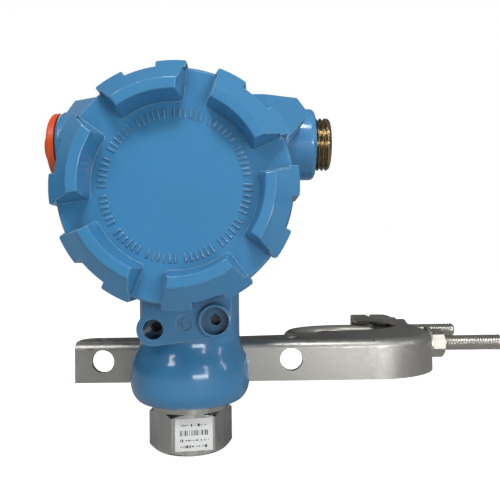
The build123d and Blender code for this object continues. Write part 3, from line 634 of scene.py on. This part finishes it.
FINISHES = {
    "blue_enamel": enamel(),
    "bright_stainless": metal("bright_stainless", (0.48, 0.47, 0.44), roughness=0.28, tone=0.14,
                              scale=260.0, relief=0.00004, stretch=(1.0, 1.0, 0.05)),
    "tumbled_stainless": metal("tumbled_stainless", (0.46, 0.45, 0.42), roughness=0.42, tone=0.2,
                               scale=420.0, relief=0.00008, pits=0.03, cloud=22.0),
    "drawn_stainless": metal("drawn_stainless", (0.56, 0.53, 0.48), roughness=0.34, tone=0.06,
                             scale=700.0, relief=0.000003, stretch=(0.05, 1.0, 1.0)),
    "plated_screws": metal("plated_screws", (0.55, 0.54, 0.51), roughness=0.33, tone=0.1,
                           scale=500.0, relief=0.00002),
    "plug_brass": metal("plug_brass", (0.36, 0.28, 0.16), roughness=0.25, tone=0.3,
                        scale=350.0, relief=0.00003, stretch=(0.15, 1.0, 1.0), pits=0.05, cloud=90.0),
    "orange_plastic": moulded("orange_plastic", (0.75, 0.085, 0.012), roughness=0.34,
                              coat=0.15, see_into=0.06),
    "black_plastic": moulded("black_plastic", (0.02, 0.02, 0.022), roughness=0.42),
    "seal_rubber": moulded("seal_rubber", (0.014, 0.014, 0.015), roughness=0.6),
    "circuit_board": circuit_board(),
}
# Near-black screw finish: painted shade for the lock screw's deep well
SHADE_DARK_SCREW = metal("shade_dark_screw", (0.03, 0.03, 0.032), roughness=0.5, tone=0.1,
                  scale=500.0, relief=0.00002)
PAPER = printed_paper()
INK = moulded("label_ink", (0.03, 0.03, 0.035), roughness=0.5)


def finish_solids():
    """Gives each CAD node the finish of its slot. The lock screw, deep in its well, gets a near-black finish
    as painted shade.
    """
    for part in frame["record"]["subparts"]:
        node = NODES[part["node"]]
        hidden_screw = part["node"] == "housing_lock_screw"
        node.data.materials.clear()
        node.data.materials.append(SHADE_DARK_SCREW if hidden_screw else FINISHES[part["material_slot"]])
        pick(node)
        smooth_under(SOLID_SMOOTH)
    object_mode()


# Pieces that the solids leave plain

def ring_ticks():
    """Raised ticks round the front cover, where such covers carry their cast lettering."""
    centre = move(0, 0, COVER_AXIS_Z)
    pattern = bar(TICK, (0, COVER_FACE_Y - TICK_LIFT, COVER_AXIS_Z + TICK_RING_R), TICK_BEVEL)
    ticks = [pattern]
    for number in range(1, TICK_BLOCKS * TICKS_IN_BLOCK):
        block, place = divmod(number, TICKS_IN_BLOCK)
        degrees = block * 360 / TICK_BLOCKS + TICK_FIRST + place * TICK_STEP
        turn = Matrix.Rotation(math.radians(degrees - TICK_FIRST), 4, "Y")
        ticks.append(copy_of(pattern, centre @ turn @ centre.inverted()))
    settle(join(ticks), "cover_ring_ticks", "front_cover", "blue_enamel")


def earth_symbol():
    """Earth symbol in the disc of the face plate."""
    strokes = []
    for width, height, rise in EARTH_STROKES:
        place = (0, EARTH_DISC_Y, EARTH_DISC_Z + rise)
        strokes.append(bar((width, EARTH_RELIEF, height), place, EARTH_BEVEL))
    settle(join(strokes), "earth_symbol", "housing", "blue_enamel")


def u_bolt_leg(side):
    """A leg of the U-bolt from its point back to the bend, with a rolled thread."""
    thread_end = LEG_END_X - ROD_POINT
    leg = ringed_bar(ROD_R, THREAD_START_X, thread_end, ROD_PITCH / THREAD_RINGS, ROD_SIDES)
    wind_thread(leg, THREAD_START_X, thread_end, ROD_PITCH, ROD_R, ROD_ROOT_R, ROD_RUNOUT)
    edit(leg)
    choose_ring(leg, thread_end)
    bpy.ops.mesh.edge_face_add()
    extend(ROD_POINT, ROD_POINT_SCALE)
    choose_ring(leg, THREAD_START_X)
    extend(BEND_X - THREAD_START_X)
    object_mode()
    leg.data.transform(move(0, PIPE_Y + side * LEG_HALF, HOLE_Z))
    return leg


def u_bolt_bend():
    """The half turn round the pipe, spun from a ring at the near leg."""
    object_mode()
    bpy.ops.mesh.primitive_circle_add(
        vertices=ROD_SIDES, radius=ROD_R * MM, rotation=(0, QUARTER_TURN, 0),
        location=(BEND_X * MM, (PIPE_Y - LEG_HALF) * MM, HOLE_Z * MM))
    bend = bpy.context.object
    set_in_place()
    bpy.ops.object.mode_set(mode="EDIT")
    bpy.ops.mesh.select_all(action="SELECT")
    centre = (BEND_X * MM, PIPE_Y * MM, HOLE_Z * MM)
    bpy.ops.mesh.spin(steps=BEND_STEPS, angle=math.pi, center=centre, axis=(0, 0, 1))
    object_mode()
    return bend


def threaded_u_bolt():
    """U-bolt with threads on both legs, in place of the plain one."""
    bolt = join([u_bolt_leg(-1), u_bolt_leg(1), u_bolt_bend()])
    pivot = move(0, PIPE_Y, HOLE_Z)
    tilt = Matrix.Rotation(math.radians(-U_BOLT_TILT), 4, "X")
    bolt.data.transform(pivot @ tilt @ pivot.inverted())
    settle(bolt, "u_bolt_rod", "u_bolt", "drawn_stainless", smooth=ROD_SMOOTH)
    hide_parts("u_bolt")


def threaded_conduit_plug():
    """Metal conduit plug with its pipe thread and hexagon socket, in place of the plain one."""
    start, end = CONDUIT_X - PLUG_IN, CONDUIT_X + PLUG_OUT - PLUG_RIM
    plug = ringed_bar(PLUG_R, start, end, PLUG_PITCH / PLUG_THREAD_RINGS, PLUG_SIDES)
    wind_thread(plug, start, end, PLUG_PITCH, PLUG_R, PLUG_R - PLUG_THREAD_DEPTH, PLUG_RUNOUT)
    edit(plug)
    choose_ring(plug, start)
    bpy.ops.mesh.edge_face_add()
    choose_ring(plug, end)
    for step, scale in PLUG_RIM_STEPS:
        extend(step, scale)
    bpy.ops.mesh.edge_face_add()
    object_mode()
    plug.data.transform(move(0, CONDUIT_Y, CONDUIT_Z))
    socket_place = (CONDUIT_X + PLUG_OUT, CONDUIT_Y, CONDUIT_Z)
    socket = bar_along_x(PLUG_SOCKET_AF / math.sqrt(3), 2 * PLUG_SOCKET_DEPTH, socket_place, 6, "NGON")
    apply_modifier(plug, "BOOLEAN", operation="DIFFERENCE", object=socket)
    bpy.data.objects.remove(socket)
    settle(plug, "conduit_plug_threaded", "conduit_plug", "plug_brass")
    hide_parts("conduit_plug")


def port_thread():
    """Thread inside the process port: a wound sleeve that lines the plain bore."""
    start, end = PORT_THREAD_START, PORT_DEPTH - PORT_THREAD_END
    sleeve = ringed_bar(PORT_R, start, end, PLUG_PITCH / THREAD_RINGS, PORT_SIDES)
    crest, root = PORT_R + PORT_THREAD_SUNK, PORT_R - PORT_THREAD_DEPTH
    wind_thread(sleeve, start, end, PLUG_PITCH, crest, root, PORT_RUNOUT)
    apply_modifier(sleeve, "SOLIDIFY", thickness=PORT_THREAD_WALL * MM, offset=1)
    sleeve.data.transform(Matrix.Rotation(-QUARTER_TURN, 4, "Y"))
    settle(sleeve, "port_thread", "sensor", "bright_stainless")


def cover_thread(side, body):
    """Thread ridges on a cover's spigot, which show when the cover is unscrewed."""
    start = BODY_HALF - SPIGOT_LENGTH + COVER_THREAD_START
    end = BODY_HALF - SEAL_DEPTH - COVER_THREAD_END
    ridges = ringed_bar(SPIGOT_R + COVER_BLANK, start, end, COVER_PITCH / THREAD_RINGS, COVER_SIDES)
    crest, root = SPIGOT_R + COVER_CREST, SPIGOT_R + COVER_ROOT
    wind_thread(ridges, start, end, COVER_PITCH, crest, root, COVER_RUNOUT)
    edit(ridges)
    for edge_x in (start, end):
        choose_ring(ridges, edge_x)
        extend(0, COVER_END_TUCK)
    object_mode()
    ridges.data.transform(move(0, 0, COVER_AXIS_Z) @ Matrix.Rotation(side * QUARTER_TURN, 4, "Z"))
    settle(ridges, f"{body}_thread", body, "blue_enamel")


def hex_label():
    """White sticker on the hexagon's front flat, with plain printed bars."""
    turn = Matrix.Rotation(math.radians(HEX_TURN), 4, "Z")
    face_y = -HEX_FLAT / 2
    paper = bar(LABEL, (LABEL_X, face_y - LABEL_LIFT, LABEL_Z), LABEL_BEVEL)
    paper.data.transform(turn)
    settle(paper, "hex_label", "sensor", "bright_stainless", PAPER)
    random.seed(7)
    marks = []
    for row in BAR_ROWS:
        marks += print_row(face_y, row, BAR_WIDTHS, BAR_HEIGHTS, BAR_GAPS)
    for row in WORD_ROWS:
        marks += print_row(face_y, row, WORD_WIDTHS, WORD_HEIGHTS, WORD_GAPS)
    ink = join(marks)
    ink.data.transform(turn)
    settle(ink, "label_print", "sensor", "bright_stainless", INK)


# Floor, light and camera: the floor and the lamps in metres, and the camera's place and lens in millimetres

FLOOR_SIZE = 8
FLOOR_DROP = 0.0003
FLOOR_GREY = (0.55, 0.55, 0.55)
FLOOR_GLOW = 0.95
ROOM_TINT = (0.95, 0.98, 1)
ROOM_LEVEL = 0.03
ROOM_ABOVE = 0.14
ROOM_RIGHT = 0.16
BODY_MIDDLE = (0, 0, 0.09)
PART_MIDDLE = (0.03, 0, 0.07)
BRACKET_MIDDLE = (0.08, 0, 0.03)
# Each lamp's name, place, aim, width with height, and watts
LAMPS = (
    ("key", (0.0, -0.52, 0.72), BODY_MIDDLE, (0.26, 0.16), 3.5),
    ("key_left", (-0.42, -0.55, 0.62), BODY_MIDDLE, (0.16, 0.22), 1.3),
    ("window", (0.55, -0.75, 0.35), PART_MIDDLE, (0.12, 0.45), 1.0),
    ("side_strip", (0.80, -0.20, 0.35), PART_MIDDLE, (0.1, 0.4), 0.6),
    ("low_panel", (0.38, -0.82, 0.07), BRACKET_MIDDLE, (0.45, 0.12), 2.2),
    ("back", (-0.6, 0.6, 0.55), BODY_MIDDLE, (0.5, 0.4), 1.4),
)
LENS = 40.75
FILM_WIDTH = 36.0
NEAREST_SEEN = 10
CAMERA_PLACE = (24.66, -230.0, 73.4)
CAMERA_RISE = 1.2146
CAMERA_ROLL = -0.74


def floor():
    """Pale floor that reads as white paper, with only the object's own soft shadow on it."""
    object_mode()
    bpy.ops.mesh.primitive_plane_add(size=FLOOR_SIZE, location=(0, 0, -FLOOR_DROP))
    ground = bpy.context.object
    ground.name = "floor"
    material, tree, shader, _ = start_material("pale_floor")
    shader.inputs["Base Color"].default_value = opaque(FLOOR_GREY)
    shader.inputs["Roughness"].default_value = 0.9
    shader.inputs["Specular IOR Level"].default_value = 0.0
    path = tree.nodes.new("ShaderNodeLightPath")
    glow = add_node(tree, "ShaderNodeEmission", {"Color": (1, 1, 1, 1)})
    seen = calculate(tree, "MULTIPLY", path.outputs["Is Camera Ray"], FLOOR_GLOW)
    tree.links.new(seen, glow.inputs["Strength"])
    together = tree.nodes.new("ShaderNodeAddShader")
    tree.links.new(shader.outputs[0], together.inputs[0])
    tree.links.new(glow.outputs[0], together.inputs[1])
    tree.links.new(together.outputs[0], tree.nodes["Material Output"].inputs["Surface"])
    ground.data.materials.append(material)


def sky():
    """White behind the object, and a plain room round it: bright above and to the right, dim to the left."""
    world = bpy.data.worlds.new("studio")
    bpy.context.scene.world = world
    world.use_nodes = True
    tree = world.node_tree
    tree.nodes.clear()
    place = tree.nodes.new("ShaderNodeTexCoord")
    way = tree.nodes.new("ShaderNodeSeparateXYZ")
    tree.links.new(place.outputs["Generated"], way.inputs[0])
    above = spread(tree, way.outputs["Z"], 0.3, 0.9, 0.0, ROOM_ABOVE)
    right = spread(tree, way.outputs["X"], 0.0, 0.7, 0.0, ROOM_RIGHT)
    level = calculate(tree, "ADD", calculate(tree, "ADD", above, right), ROOM_LEVEL)
    seen = add_node(tree, "ShaderNodeBackground", {"Color": (1, 1, 1, 1), "Strength": 1.0})
    room = add_node(tree, "ShaderNodeBackground", {"Color": opaque(ROOM_TINT)})
    tree.links.new(level, room.inputs["Strength"])
    path = tree.nodes.new("ShaderNodeLightPath")
    mixed = tree.nodes.new("ShaderNodeMixShader")
    for inlet, outlet in enumerate((path.outputs["Is Camera Ray"], room.outputs[0], seen.outputs[0])):
        tree.links.new(outlet, mixed.inputs[inlet])
    out = tree.nodes.new("ShaderNodeOutputWorld")
    tree.links.new(mixed.outputs[0], out.inputs["Surface"])


def lamp(name, place, aim, size, power):
    """A flat lamp that faces its aim."""
    data = bpy.data.lights.new(name, "AREA")
    data.shape = "RECTANGLE"
    data.size, data.size_y = size
    data.energy = power
    stand = bpy.data.objects.new(name, data)
    bpy.context.collection.objects.link(stand)
    stand.location = place
    stand.rotation_euler = (Vector(aim) - Vector(place)).to_track_quat("-Z", "Y").to_euler()


def camera():
    """The photograph's view, fitted to the object's own sizes."""
    lens = bpy.data.cameras.new("photo_view")
    lens.sensor_width = FILM_WIDTH
    lens.lens = LENS
    lens.clip_start = NEAREST_SEEN * MM
    view = bpy.data.objects.new("photo_view", lens)
    bpy.context.collection.objects.link(view)
    rise = Matrix.Rotation(math.radians(90 + CAMERA_RISE), 4, "X")
    roll = Matrix.Rotation(math.radians(CAMERA_ROLL), 4, "Z")
    view.matrix_world = move(*CAMERA_PLACE) @ rise @ roll
    bpy.context.scene.camera = view


finish_solids()
ring_ticks()
earth_symbol()
threaded_u_bolt()
threaded_conduit_plug()
port_thread()
cover_thread(-1, "front_cover")
cover_thread(1, "rear_cover")
hex_label()

floor()
sky()
for row in LAMPS:
    lamp(*row)
camera()
bpy.context.scene.view_settings.view_transform = "Standard"
